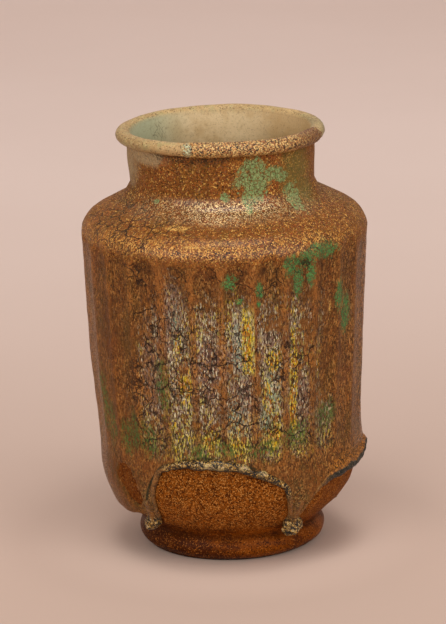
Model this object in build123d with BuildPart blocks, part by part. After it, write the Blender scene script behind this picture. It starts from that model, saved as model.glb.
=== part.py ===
from build123d import *
import os
from math import atan2, cos, hypot, radians, sin, sqrt, tan

# Sizes of the jar in mm, foot standing on z = 0, front of the jar towards -Y

# Foot ring
FOOT_CONTACT_RADIUS = 39.5
FOOT_BULGE_RADIUS = 44.3
FOOT_BORE_RADIUS = 31.0
FOOT_HEIGHT = 12.0

# Line of the body, from the groove above the foot to the neck
GROOVE_RADIUS = 42.0
KNEE_RADIUS = 60.6
KNEE_RISE = 18.4
KNEE_FILLET = 32.0
SHOULDER_RADIUS = 68.0
SHOULDER_FILLET = 12.0
SHOULDER_SLOPE_RISE = 13.2
NECK_ROOT_FILLET = 8.5
NECK_RADIUS = 43.0

# Thrown sections and the slip that joins them
WALL = 4.2
NECK_WALL = 2.7
FLOOR = 7.0
SLIP = 0.6
LOWER_BODY_HEIGHT = 31.4
FLUTED_WALL_HEIGHT = 105.4
SHOULDER_CORNER_RISE = 8.1
NECK_STUB_HEIGHT = 4.1
NECK_HEIGHT = 14.1
RIM_COLLAR_HEIGHT = 7.6
LIP_RADIUS = 2.8
LIP_FLARE = 2.4

# Flutes pressed in the wall
FLUTE_COUNT = 27
FLUTE_WIDTH = 12.6
FLUTE_DEPTH = 1.2
FLUTE_TOP_MARGIN = 1.5
FLUTE_BOTTOM_MARGIN = 12.0
FLUTE_TURN = 17.9

# Glaze coat, its scalloped hem, runs and drops
GLAZE = 0.5
CRUST = 0.4
CRUST_START = -22.0
CRUST_SPAN = 95.0
HEM_CREST_HEIGHT = 52.5
HEM_CUSP_HEIGHT = 34.0
HEM_ROLL_RADIUS = 2.0
RUN_COUNT = 5
RUN_TURN = 30.0
RUN_TOP_RADIUS = 2.4
RUN_TIP_RADIUS = 1.7
DROP_RADIUS = 4.2
DROP_HEIGHT = 17.4
DROP_OVERHANG = 4.4

# Levels that follow from the sizes
BASE_Z = FOOT_HEIGHT + SLIP
FLOOR_Z = BASE_Z + FLOOR
KNEE_Z = BASE_Z + KNEE_RISE
LOWER_TOP_Z = BASE_Z + LOWER_BODY_HEIGHT
WALL_Z = LOWER_TOP_Z + SLIP
WALL_TOP_Z = WALL_Z + FLUTED_WALL_HEIGHT
SHOULDER_Z = WALL_TOP_Z + SLIP
CORNER_Z = SHOULDER_Z + SHOULDER_CORNER_RISE
ROOT_Z = CORNER_Z + SHOULDER_SLOPE_RISE
SHOULDER_TOP_Z = ROOT_Z + NECK_STUB_HEIGHT
NECK_Z = SHOULDER_TOP_Z + SLIP
NECK_TOP_Z = NECK_Z + NECK_HEIGHT
RIM_Z = NECK_TOP_Z + SLIP
LIP_Z = RIM_Z + RIM_COLLAR_HEIGHT
NECK_BORE_RADIUS = NECK_RADIUS - NECK_WALL
LIP_CENTRE_RADIUS = NECK_BORE_RADIUS + LIP_FLARE + LIP_RADIUS
FRONT = -90.0
RUN_PITCH = 360.0 / RUN_COUNT

os.makedirs("parts", exist_ok=True)


def crossing(a, b, c, d):
    """Point where the line through a and b meets the line through c and d"""
    ab = (b[0] - a[0], b[1] - a[1])
    cd = (d[0] - c[0], d[1] - c[1])
    share = ((c[0] - a[0]) * cd[1] - (c[1] - a[1]) * cd[0]) / (ab[0] * cd[1] - ab[1] * cd[0])
    return (a[0] + share * ab[0], a[1] + share * ab[1])


def body_corners(amount, neck_amount):
    """Corners of the body line moved outwards by amount, and by neck_amount at the neck, as (radius, z)"""
    line = [
        (GROOVE_RADIUS, BASE_Z),
        (KNEE_RADIUS, KNEE_Z),
        (SHOULDER_RADIUS, CORNER_Z),
        (NECK_RADIUS, ROOT_Z),
        (NECK_RADIUS, RIM_Z),
    ]
    moves = [amount, amount, amount, neck_amount]
    legs = []
    for a, b, move in zip(line, line[1:], moves):
        length = hypot(b[0] - a[0], b[1] - a[1])
        out = (move * (b[1] - a[1]) / length, move * (a[0] - b[0]) / length)
        legs.append(((a[0] + out[0], a[1] + out[1]), (b[0] + out[0], b[1] + out[1])))
    corners = [legs[0][0]]
    for leg, following in zip(legs, legs[1:]):
        corners.append(crossing(*leg, *following))
    corners.append(legs[-1][1])
    return corners


def eased(a, b, c, wanted):
    """Fillet radius at corner b, kept to what half of each leg has room for"""
    turn = atan2(c[1] - b[1], c[0] - b[0]) - atan2(b[1] - a[1], b[0] - a[0])
    room = min(hypot(b[0] - a[0], b[1] - a[1]), hypot(c[0] - b[0], c[1] - b[1])) / 2
    return min(wanted, room / tan(abs(turn) / 2))


def body_form(amount, neck_amount):
    """Solid of revolution inside the body line moved outwards by amount, and by neck_amount at the neck"""
    corners = body_corners(amount, neck_amount)
    wanted = (KNEE_FILLET + amount, SHOULDER_FILLET + amount, NECK_ROOT_FILLET - neck_amount)
    fillets = [eased(*corners[i : i + 3], wanted[i]) for i in range(3)]
    with BuildPart() as form:
        with BuildSketch(Plane.XZ):
            with BuildLine():
                side = FilletPolyline(*corners, radius=fillets)
                Polyline(side @ 1, (0, corners[-1][1]), (0, corners[0][1]), side @ 0)
            make_face()
        revolve(axis=Axis.Z)
    return form.part


def reach(form, height):
    """Radius of a solid of revolution at a height"""
    ray = Edge.make_line((0, 0, height), (2 * SHOULDER_RADIUS, 0, height))
    return form.intersect(ray).edges().sort_by(Edge.length)[-1].length


def around(radius, turn, height):
    """Point at a radius and a height, turned from the front of the jar"""
    polar = radians(FRONT + turn)
    return Vector(radius * cos(polar), radius * sin(polar), height)


def slab(form, low, high):
    """Part of a solid between two heights"""
    with BuildPart() as piece:
        add(form)
        split(bisect_by=Plane.XY.offset(low), keep=Keep.TOP)
        split(bisect_by=Plane.XY.offset(high), keep=Keep.BOTTOM)
    return piece.part


# Flute cutters, a round bar with domed ends leaning with the wall
wall_foot, wall_head = body_corners(0, 0)[1:3]
wall_slope = (wall_head[0] - wall_foot[0]) / (wall_head[1] - wall_foot[1])
flute_mid_z = (WALL_Z + FLUTE_BOTTOM_MARGIN + WALL_TOP_Z - FLUTE_TOP_MARGIN) / 2
flute_length = FLUTED_WALL_HEIGHT - FLUTE_BOTTOM_MARGIN - FLUTE_TOP_MARGIN
flute_mid_radius = wall_foot[0] + wall_slope * (flute_mid_z - wall_foot[1])
flute_rise = flute_mid_radius - sqrt(flute_mid_radius**2 - (FLUTE_WIDTH / 2) ** 2)
flute_sag = max(FLUTE_DEPTH - flute_rise, FLUTE_DEPTH / 10)
flute_bar_radius = ((FLUTE_WIDTH / 2) ** 2 + flute_sag**2) / (2 * flute_sag)
flute_tip = sqrt(2 * flute_bar_radius * FLUTE_DEPTH - FLUTE_DEPTH**2)
flute_bar_length = flute_length - 2 * flute_tip
flute_axis_radius = flute_mid_radius + flute_bar_radius - FLUTE_DEPTH
flute_plane = Plane(
    origin=(flute_axis_radius, 0, flute_mid_z),
    x_dir=(0, 1, 0),
    z_dir=(wall_slope, 0, 1),
)


def flute_bar(shrink):
    """Cutter of one flute, thinner by shrink all round"""
    with BuildPart(flute_plane) as bar:
        Cylinder(radius=flute_bar_radius - shrink, height=flute_bar_length)
        with Locations((0, 0, flute_bar_length / 2), (0, 0, -flute_bar_length / 2)):
            Sphere(radius=flute_bar_radius - shrink)
    return bar.part


def fluted(form, shrink):
    """Solid with all flutes cut in its wall"""
    with BuildPart() as piece:
        add(form)
        with PolarLocations(0, FLUTE_COUNT, start_angle=FRONT + FLUTE_TURN):
            add(flute_bar(shrink), mode=Mode.SUBTRACT)
    return piece.part


# Forms the pieces are cut from
bare_form = body_form(0, 0)
glazed_form = body_form(GLAZE, GLAZE)
with BuildPart() as cavity:
    add(body_form(-WALL, -NECK_WALL))
    split(bisect_by=Plane.XY.offset(FLOOR_Z), keep=Keep.TOP)
with BuildPart() as lined_cavity:
    add(body_form(-WALL - GLAZE, -NECK_WALL - GLAZE))
    split(bisect_by=Plane.XY.offset(FLOOR_Z + GLAZE), keep=Keep.TOP)
with BuildPart() as shell:
    add(bare_form)
    add(cavity.part, mode=Mode.SUBTRACT)

# Foot ring
with BuildPart() as foot_ring:
    with BuildSketch(Plane.XZ):
        with BuildLine():
            Line((FOOT_BORE_RADIUS, 0), (FOOT_CONTACT_RADIUS, 0))
            ThreePointArc(
                (FOOT_CONTACT_RADIUS, 0),
                (FOOT_BULGE_RADIUS, FOOT_HEIGHT / 2),
                (GROOVE_RADIUS, FOOT_HEIGHT),
            )
            Line((GROOVE_RADIUS, FOOT_HEIGHT), (FOOT_BORE_RADIUS, FOOT_HEIGHT))
            Line((FOOT_BORE_RADIUS, FOOT_HEIGHT), (FOOT_BORE_RADIUS, 0))
        make_face()
    revolve(axis=Axis.Z)
foot_ring.part.label = "foot_ring"
export_step(foot_ring.part, "parts/foot_ring.step")

# Slip between the foot ring and the body
with BuildPart() as foot_slip:
    with BuildSketch(Plane.XY.offset(FOOT_HEIGHT)):
        Circle(GROOVE_RADIUS)
        Circle(FOOT_BORE_RADIUS, mode=Mode.SUBTRACT)
    extrude(amount=SLIP)
foot_slip.part.label = "foot_slip"
export_step(foot_slip.part, "parts/foot_slip.step")

# Lower body, a flared bowl with the floor of the jar
with BuildPart() as lower_body:
    add(slab(shell.part, BASE_Z, LOWER_TOP_Z))
lower_body.part.label = "lower_body"
export_step(lower_body.part, "parts/lower_body.step")

# Slip between the lower body and the wall
with BuildPart() as wall_slip:
    add(slab(shell.part, LOWER_TOP_Z, WALL_Z))
wall_slip.part.label = "wall_slip"
export_step(wall_slip.part, "parts/wall_slip.step")

# Wall with its upright flutes
with BuildPart() as fluted_wall:
    add(fluted(slab(shell.part, WALL_Z, WALL_TOP_Z), 0))
fluted_wall.part.label = "fluted_wall"
export_step(fluted_wall.part, "parts/fluted_wall.step")

# Slip between the wall and the shoulder
with BuildPart() as shoulder_slip:
    add(slab(shell.part, WALL_TOP_Z, SHOULDER_Z))
shoulder_slip.part.label = "shoulder_slip"
export_step(shoulder_slip.part, "parts/shoulder_slip.step")

# Shoulder turning in to the root of the neck
with BuildPart() as shoulder:
    add(slab(shell.part, SHOULDER_Z, SHOULDER_TOP_Z))
shoulder.part.label = "shoulder"
export_step(shoulder.part, "parts/shoulder.step")

# Slip between the shoulder and the neck
with BuildPart() as neck_slip:
    add(slab(shell.part, SHOULDER_TOP_Z, NECK_Z))
neck_slip.part.label = "neck_slip"
export_step(neck_slip.part, "parts/neck_slip.step")

# Neck
with BuildPart() as neck:
    add(slab(shell.part, NECK_Z, NECK_TOP_Z))
neck.part.label = "neck"
export_step(neck.part, "parts/neck.step")

# Slip between the neck and the rim
with BuildPart() as rim_slip:
    add(slab(shell.part, NECK_TOP_Z, RIM_Z))
rim_slip.part.label = "rim_slip"
export_step(rim_slip.part, "parts/rim_slip.step")

# Rim, a round lip turned out over a short flared collar
with BuildSketch(Plane.XZ) as rim_section:
    with Locations((LIP_CENTRE_RADIUS, LIP_Z)):
        Circle(LIP_RADIUS)
    with BuildLine():
        Polyline(
            (NECK_BORE_RADIUS, RIM_Z),
            (NECK_RADIUS, RIM_Z),
            (LIP_CENTRE_RADIUS, LIP_Z),
            (LIP_CENTRE_RADIUS - LIP_RADIUS, LIP_Z),
            close=True,
        )
    make_face()
with BuildPart() as rim_roll:
    add(rim_section.sketch)
    revolve(axis=Axis.Z)
rim_roll.part.label = "rim_roll"
export_step(rim_roll.part, "parts/rim_roll.step")

# Glaze over the rim
with BuildPart() as rim_glaze:
    with BuildSketch(Plane.XZ):
        with Locations((LIP_CENTRE_RADIUS, LIP_Z)):
            Circle(LIP_RADIUS + GLAZE)
        with BuildLine():
            Polyline(
                (NECK_BORE_RADIUS - GLAZE, RIM_Z),
                (NECK_RADIUS + GLAZE, RIM_Z),
                (LIP_CENTRE_RADIUS, LIP_Z),
                (LIP_CENTRE_RADIUS - LIP_RADIUS - GLAZE, LIP_Z),
                close=True,
            )
        make_face()
    revolve(axis=Axis.Z)
    add(rim_roll.part, mode=Mode.SUBTRACT)
rim_glaze.part.label = "rim_glaze"
export_step(rim_glaze.part, "parts/rim_glaze.step")

# Crust of weathered glaze on the front of the lip
crust_polar = radians(FRONT + CRUST_START)
crust_plane = Plane(
    origin=(0, 0, 0),
    x_dir=(cos(crust_polar), sin(crust_polar), 0),
    z_dir=(sin(crust_polar), -cos(crust_polar), 0),
)
with BuildPart() as rim_crust:
    with BuildSketch(crust_plane):
        with Locations((LIP_CENTRE_RADIUS, LIP_Z)):
            Circle(LIP_RADIUS + GLAZE + CRUST)
            Circle(LIP_RADIUS + GLAZE, mode=Mode.SUBTRACT)
            Rectangle(
                2 * LIP_RADIUS,
                4 * LIP_RADIUS,
                align=(Align.MAX, Align.CENTER),
                mode=Mode.SUBTRACT,
            )
        with Locations((LIP_CENTRE_RADIUS, LIP_Z - LIP_RADIUS / 2)):
            Rectangle(
                2 * LIP_RADIUS,
                2 * LIP_RADIUS,
                align=(Align.MIN, Align.MAX),
                mode=Mode.SUBTRACT,
            )
    revolve(axis=Axis.Z, revolution_arc=CRUST_SPAN)
rim_crust.part.label = "rim_crust"
export_step(rim_crust.part, "parts/rim_crust.step")

# Glaze lining inside the jar
with BuildPart() as inner_glaze:
    add(cavity.part)
    add(lined_cavity.part, mode=Mode.SUBTRACT)
inner_glaze.part.label = "inner_glaze"
export_step(inner_glaze.part, "parts/inner_glaze.step")

# Glaze coat outside, ending below in scallops that hang between the runs
crest_radius = reach(glazed_form, HEM_CREST_HEIGHT)
cusp_radius = reach(glazed_form, HEM_CUSP_HEIGHT)
cusps = [around(cusp_radius, RUN_TURN + i * RUN_PITCH, HEM_CUSP_HEIGHT) for i in range(RUN_COUNT + 1)]
crests = [
    around(crest_radius, RUN_TURN + (i + 0.5) * RUN_PITCH, HEM_CREST_HEIGHT) for i in range(RUN_COUNT)
]
bare_fluted = fluted(bare_form, 0)
with BuildPart() as outer_glaze:
    add(fluted(glazed_form, GLAZE))
    add(bare_fluted, mode=Mode.SUBTRACT)
    split(bisect_by=Plane.XY.offset(HEM_CUSP_HEIGHT - HEM_ROLL_RADIUS), keep=Keep.TOP)
    for i in range(RUN_COUNT):
        rising = (cusps[i + 1] - cusps[i]).cross(crests[i] - cusps[i])
        if rising.Z < 0:
            rising = -rising
        split(bisect_by=Plane(origin=crests[i], z_dir=rising), keep=Keep.TOP)
outer_glaze.part.label = "outer_glaze"
export_step(outer_glaze.part, "parts/outer_glaze.step")

# Thick roll along the hem of the glaze
with BuildPart() as glaze_hem:
    for i in range(RUN_COUNT):
        with BuildLine() as swag:
            ThreePointArc(cusps[i], crests[i], cusps[i + 1])
        with BuildSketch(Plane(origin=cusps[i], z_dir=swag.line % 0)):
            Circle(HEM_ROLL_RADIUS)
        sweep(path=swag.line)
    with Locations(*cusps[:RUN_COUNT]):
        Sphere(HEM_ROLL_RADIUS)
    add(bare_form, mode=Mode.SUBTRACT)
    add(outer_glaze.part, mode=Mode.SUBTRACT)
glaze_hem.part.label = "glaze_hem"
export_step(glaze_hem.part, "parts/glaze_hem.step")

# One run of glaze below a cusp of the hem, and the drop that hangs from it
drop_centre = around(reach(bare_form, DROP_HEIGHT) + DROP_OVERHANG, RUN_TURN, DROP_HEIGHT)
fall = cusps[0] - drop_centre
with BuildPart() as drop_form:
    with Locations(drop_centre):
        Sphere(DROP_RADIUS)
    add(bare_form, mode=Mode.SUBTRACT)
with BuildPart() as run_form:
    with BuildSketch(Plane(origin=drop_centre, z_dir=fall)):
        Circle(RUN_TIP_RADIUS)
    with BuildSketch(Plane(origin=cusps[0], z_dir=fall)):
        Circle(RUN_TOP_RADIUS)
    loft()
    add(bare_form, mode=Mode.SUBTRACT)
    add(outer_glaze.part, mode=Mode.SUBTRACT)
    add(glaze_hem.part, mode=Mode.SUBTRACT)
    add(drop_form.part, mode=Mode.SUBTRACT)

# Runs and drops all round
for i in range(RUN_COUNT):
    turned = Location((0, 0, 0), (0, 0, i * RUN_PITCH))
    with BuildPart() as glaze_run:
        add(run_form.part.moved(turned))
    glaze_run.part.label = f"glaze_run_{i + 1}"
    export_step(glaze_run.part, f"parts/glaze_run_{i + 1}.step")
    with BuildPart() as glaze_drop:
        add(drop_form.part.moved(turned))
    glaze_drop.part.label = f"glaze_drop_{i + 1}"
    export_step(glaze_drop.part, f"parts/glaze_drop_{i + 1}.step")
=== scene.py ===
import math

import bmesh
import bpy
import numpy as np
from bpy.props import FloatProperty, FloatVectorProperty, IntProperty, PointerProperty
from bpy.types import Operator, Panel, PropertyGroup
from mathutils import Matrix, Vector


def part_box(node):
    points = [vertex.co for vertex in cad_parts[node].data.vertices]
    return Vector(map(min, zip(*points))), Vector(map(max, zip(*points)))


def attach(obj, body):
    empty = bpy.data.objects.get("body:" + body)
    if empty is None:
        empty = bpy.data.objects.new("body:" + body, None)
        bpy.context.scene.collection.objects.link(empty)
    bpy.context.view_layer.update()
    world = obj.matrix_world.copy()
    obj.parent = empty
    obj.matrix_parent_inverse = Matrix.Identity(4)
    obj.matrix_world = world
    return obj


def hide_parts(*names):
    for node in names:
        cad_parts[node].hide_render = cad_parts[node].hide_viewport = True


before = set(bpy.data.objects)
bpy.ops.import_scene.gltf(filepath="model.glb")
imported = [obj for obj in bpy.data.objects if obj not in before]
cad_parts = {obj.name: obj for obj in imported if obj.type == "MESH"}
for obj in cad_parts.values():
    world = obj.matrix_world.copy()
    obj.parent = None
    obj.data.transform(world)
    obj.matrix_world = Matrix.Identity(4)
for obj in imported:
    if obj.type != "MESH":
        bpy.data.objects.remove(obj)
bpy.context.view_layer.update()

bl_info = {
    "name": "Fluted Glazed Jar",
    "version": (1, 0, 0),
    "blender": (4, 5, 0),
    "location": "3D View > Sidebar > Jar",
    "description": "Dresses the packed jar with weathered glaze, bare paste, lip, hem, runs and drops",
    "category": "Object",
}

# Heights in metres: top of the bare bowl, start of its tuck under the glaze, foot of the hidden sections,
# foot of the neck, and where the wall's stray stops changing
BOWL_TOP = 0.060
TUCK_FOOT = 0.050
CORE_FOOT = 0.0602
NECK_FOOT = 0.17
STRAY_TOP = 0.19
# Height of a flute's round end and half of the height over which it fades out below, in metres
ARCH_HEIGHT = 0.009
FLUTE_FADE = 0.012
ARC_STEPS = 24
MM = 0.001
FULL_TURN = 2 * math.pi


def tone(red, green, blue):
    """Linear colour of a tone written as it is seen, in steps of 255."""
    seen = (value / 255 for value in (red, green, blue))
    return tuple(v / 12.92 if v <= 0.04045 else ((v + 0.055) / 1.055) ** 2.4 for v in seen)


def length(name, description, default):
    """Property for a size in metres."""
    return FloatProperty(name=name, description=description, default=default, unit="LENGTH", precision=5)


def colour(name, description, default):
    """Property for a colour."""
    return FloatVectorProperty(
        name=name, description=description, default=tone(*default), subtype="COLOR", min=0, max=1
    )


class JarSizes(PropertyGroup):
    """Sizes of the jar's visible pieces."""

    foot_height: length("Foot height", "Height of the ring foot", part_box("foot_ring")[1].z)
    foot_contact: length("Foot contact", "Outer radius of the ring on the ground", 0.0392)
    foot_bulge: length("Foot bulge", "Radius of the ring at its widest", 0.0446)
    foot_bore: length("Foot bore", "Inner radius of the ring", 0.0310)
    base_height: length("Base height", "Height of the bowl's underside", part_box("lower_body")[0].z)
    groove_radius: length("Groove radius", "Radius of the groove above the foot", 0.0422)
    groove_ease: length("Groove ease", "Radius of the turn out of the groove", 0.0070)
    knee_radius: length("Knee radius", "Radius where the bowl turns up", 0.0606)
    knee_height: length("Knee height", "Height where the bowl turns up", 0.0310)
    knee_ease: length("Knee ease", "Radius of the turn of the bowl", 0.0320)
    shoulder_radius: length("Shoulder radius", "Radius at the shoulder's corner", 0.0680)
    shoulder_height: length("Shoulder height", "Height of the shoulder's corner", 0.1587)
    shoulder_ease: length("Shoulder ease", "Radius of the turn of the shoulder", 0.0120)
    neck_radius: length("Neck radius", "Outer radius of the neck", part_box("neck")[1].x)
    root_height: length("Root height", "Height of the root of the neck", 0.1719)
    root_ease: length("Root ease", "Radius of the turn at the root of the neck", 0.0085)
    wall: length("Wall", "Thickness of the paste", 0.0042)
    neck_wall: length("Neck wall", "Thickness of the paste at the neck", 0.0027)
    floor_height: length("Floor height", "Height of the floor inside", 0.0196)
    glaze: length("Glaze", "Thickness of the glaze", 0.0005)
    lip_radius: length("Lip radius", "Radius of the lip's middle line", 0.0455)
    lip_height: length("Lip height", "Height of the lip's middle line", 0.19915)
    lip_wide: length("Lip half width", "Half of the lip's width", 0.0035)
    lip_tall: length("Lip half height", "Half of the lip's height", 0.00305)
    lip_reach: length("Lip reach", "Height where the lining starts to flare out to the lip", 0.1870)
    crust: length("Crust", "Thickness of the crust on the lip", 0.0005)
    flute_count: IntProperty(name="Flutes", description="Number of flutes", default=27, min=3)
    flute_depth: length("Flute depth", "Depth of a flute below its ridges", 0.0011)
    flute_top: length("Flute top", "Height where a flute ends above", 0.1535)
    flute_bottom: length("Flute bottom", "Height where a flute fades out below", 0.0560)
    flute_turn: FloatProperty(
        name="Flute turn",
        description="Place of one ridge from the front",
        default=math.radians(11.2),
        subtype="ANGLE",
    )


class JarColours(PropertyGroup):
    """Main colours of the jar and its stage."""

    glaze_brown: colour("Glaze brown", "Weathered glaze", (148, 90, 38))
    glaze_dark: colour("Glaze dark", "Weathered glaze where it is darkest", (114, 68, 28))
    glaze_orange: colour("Glaze orange", "Weathered glaze on the shoulder", (142, 80, 22))
    glaze_gold: colour("Glaze gold", "Golden grain in the glaze", (240, 186, 96))
    glaze_green: colour("Glaze green", "Remains of the green glaze", (118, 148, 90))
    glaze_teal: colour("Glaze teal", "Deepest green glaze", (62, 110, 62))
    paste: colour("Paste", "Bare fired paste", (150, 82, 20))
    foot_brown: colour("Foot brown", "Stained paste of the foot", (122, 60, 5))
    lip_cream: colour("Lip cream", "Worn pale glaze of the lip", (190, 157, 106))
    lining: colour("Lining", "Glaze inside the mouth", (204, 177, 134))
    crust: colour("Crust", "Orange crust on the lip", (204, 142, 78))
    backdrop: colour("Backdrop", "Floor under the jar", (196, 170, 155))
    backdrop_far: colour("Far backdrop", "Floor and backdrop behind the jar", (234, 213, 203))


class Wire:
    """Output of a node that takes part in Python expressions, each adding its Math node."""

    def __init__(self, graph, socket):
        self.graph = graph
        self.socket = socket

    def __add__(self, other):
        return self.graph.maths("ADD", self, other)

    def __sub__(self, other):
        return self.graph.maths("SUBTRACT", self, other)

    def __rsub__(self, other):
        return self.graph.maths("SUBTRACT", other, self)

    def __mul__(self, other):
        return self.graph.maths("MULTIPLY", self, other)

    def __truediv__(self, other):
        return self.graph.maths("DIVIDE", self, other)

    def __neg__(self):
        return self.graph.maths("MULTIPLY", self, -1)

    def __abs__(self):
        return self.graph.maths("ABSOLUTE", self)

    def __rtruediv__(self, other):
        return self.graph.maths("DIVIDE", other, self)

    __radd__ = __add__
    __rmul__ = __mul__


class Graph:
    """A node tree that is written as expressions."""

    def __init__(self, tree):
        self.tree = tree

    def node(self, kind, settings=None, values=None, out=0):
        """Adds a node of a kind with its settings, and values or links of its sockets by name or number."""
        made = self.tree.nodes.new(kind)
        for key, value in (settings or {}).items():
            if key == "stops":
                self.set_stops(made.color_ramp.elements, value)
            else:
                setattr(made, key, value)
        for key, value in (values or {}).items():
            self.feed(made.inputs[key], value)
        return Wire(self, made.outputs[out] if made.outputs else None)

    @staticmethod
    def set_stops(elements, stops):
        """Sets a ramp's stops, each a place between 0 and 1 and a seen tone."""
        while len(elements) < len(stops):
            elements.new(1)
        for element, (place, shade) in zip(elements, stops):
            element.position = place
            element.color = (*tone(*shade), 1)

    def feed(self, socket, value):
        """Links a wire to a socket or sets the socket's own value. A colour in a tuple is a seen tone."""
        if isinstance(value, Wire):
            self.tree.links.new(value.socket, socket)
        elif socket.type == "RGBA":
            shade = tone(*value) if isinstance(value, tuple) else value
            socket.default_value = (*shade, 1)
        else:
            socket.default_value = value

    def maths(self, operation, *values):
        return self.node("ShaderNodeMath", {"operation": operation}, dict(enumerate(values)))

    def vector(self, operation, *values):
        return self.node("ShaderNodeVectorMath", {"operation": operation}, dict(enumerate(values)))

    def scaled(self, vector, by):
        return self.node("ShaderNodeVectorMath", {"operation": "SCALE"}, {0: vector, "Scale": by})

    def parts(self, wire, kind="XYZ"):
        """The three numbers of a vector, or of a colour if the kind says so."""
        split = self.node("ShaderNodeSeparate" + kind, None, {0: wire}).socket.node
        return [Wire(self, split.outputs[i]) for i in range(3)]

    def join(self, x, y, z):
        return self.node("ShaderNodeCombineXYZ", None, {0: x, 1: y, 2: z})

    def ease(self, value, low, high):
        """Rises smoothly from 0 at low to 1 at high."""
        values = {"Value": value, "From Min": low, "From Max": high}
        return self.node("ShaderNodeMapRange", {"interpolation_type": "SMOOTHSTEP"}, values)

    def fall(self, value, low, high):
        """Falls smoothly from 1 at low to 0 at high."""
        return 1 - self.ease(value, low, high)

    def clamp(self, value):
        return self.node("ShaderNodeClamp", None, {0: value})

    def noise(self, vector, scale, detail=2, rough=0.5, warp=0, out=0):
        values = {"Vector": vector, "Scale": scale, "Detail": detail}
        values |= {"Roughness": rough, "Distortion": warp}
        return self.node("ShaderNodeTexNoise", None, values, out)

    def cells(self, vector, scale, feature="F1", out=0):
        """Cells about 1 / scale wide: out 0 is the distance in a cell, 1 its random colour."""
        fed = {"Vector": vector, "Scale": scale}
        return self.node("ShaderNodeTexVoronoi", {"feature": feature}, fed, out)

    def seams(self, vector, scale):
        """Distance from the seams between cells."""
        return self.cells(vector, scale, "DISTANCE_TO_EDGE")


class Finish(Graph):
    """A material whose looks follow the place on the jar, in millimetres and degrees from the front."""

    def __init__(self, name):
        self.material = bpy.data.materials.new(name)
        self.material.use_nodes = True
        super().__init__(self.material.node_tree)
        self.tree.nodes.clear()
        self.place = self.vector("MULTIPLY", self.node("ShaderNodeTexCoord", out=3), (1000, 1000, 1000))
        self.x, self.y, self.z = self.parts(self.place)
        self.turn = self.maths("ARCTAN2", self.x, -self.y) * math.degrees(1)

    def mix(self, share, first, second):
        """Colour between two colours."""
        values = {0: share, 6: first, 7: second}
        return self.node("ShaderNodeMix", {"data_type": "RGBA", "blend_type": "MIX"}, values, out=2)

    def layers(self, base, *rows):
        """Base colour with the colour of each row laid over it by the row's share."""
        for share, shade in rows:
            base = self.mix(share, base, shade)
        return base

    def ramp(self, value, *stops):
        """Colour at a value, from stops of a place between 0 and 1 and a seen tone."""
        return self.node("ShaderNodeValToRGB", {"stops": stops}, {0: value})

    def bump(self, height, distance, strength):
        values = {"Height": height, "Distance": distance, "Strength": strength}
        return self.node("ShaderNodeBump", None, values)

    def stretched(self, upright):
        """Place with heights squeezed, so that a pattern on it is drawn out upright."""
        return self.vector("MULTIPLY", self.place, (1, 1, upright))

    def bent(self, scale, reach):
        """Place pushed about by noise, so that lines on it wander."""
        return self.vector("ADD", self.place, self.scaled(self.noise(self.place, scale, 3, out=1), reach))

    def dots(self, scale, upright=1):
        """Three random numbers for each small cell, about 1 / scale wide."""
        return self.parts(self.cells(self.stretched(upright), scale, out=1), "Color")

    def patches(self, ragged, soft, *ovals):
        """1 in ragged ovals of centre turn and height, half width and half height, 0 outside."""
        reach = None
        for turn, height, wide, tall in ovals:
            across = (self.turn - turn) * (1 / wide)
            along = (self.z - height) * (1 / tall)
            own = across * across + along * along
            reach = own if reach is None else self.maths("MINIMUM", reach, own)
        return self.fall(self.maths("SQRT", reach) + ragged, 1 - soft, 1 + soft)

    def box(self, left, right, low, high):
        """1 between two turns and two heights, 0 outside, sharp at the sides and soft above."""
        side, foot, top = 0.5, 1.5, 5
        from_left = self.ease(self.turn, left - side, left + side)
        across = from_left * self.fall(self.turn, right - side, right + side)
        upward = self.ease(self.z, low - foot, low + foot)
        return across * upward * self.fall(self.z, high - top, high + top)

    def most(self, *masks):
        """Largest of several masks."""
        found = masks[0]
        for mask in masks[1:]:
            found = self.maths("MAXIMUM", found, mask)
        return found

    def surface(self, base, rough, normal, coat, constants, metal=0):
        """Ends the material in one Principled shader."""
        varying = {"Base Color": base, "Roughness": rough, "Normal": normal}
        varying |= {"Coat Weight": coat, "Metallic": metal}
        shader = self.node("ShaderNodeBsdfPrincipled", None, constants | varying)
        self.node("ShaderNodeOutputMaterial", None, {0: shader})
        return self.material


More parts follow.
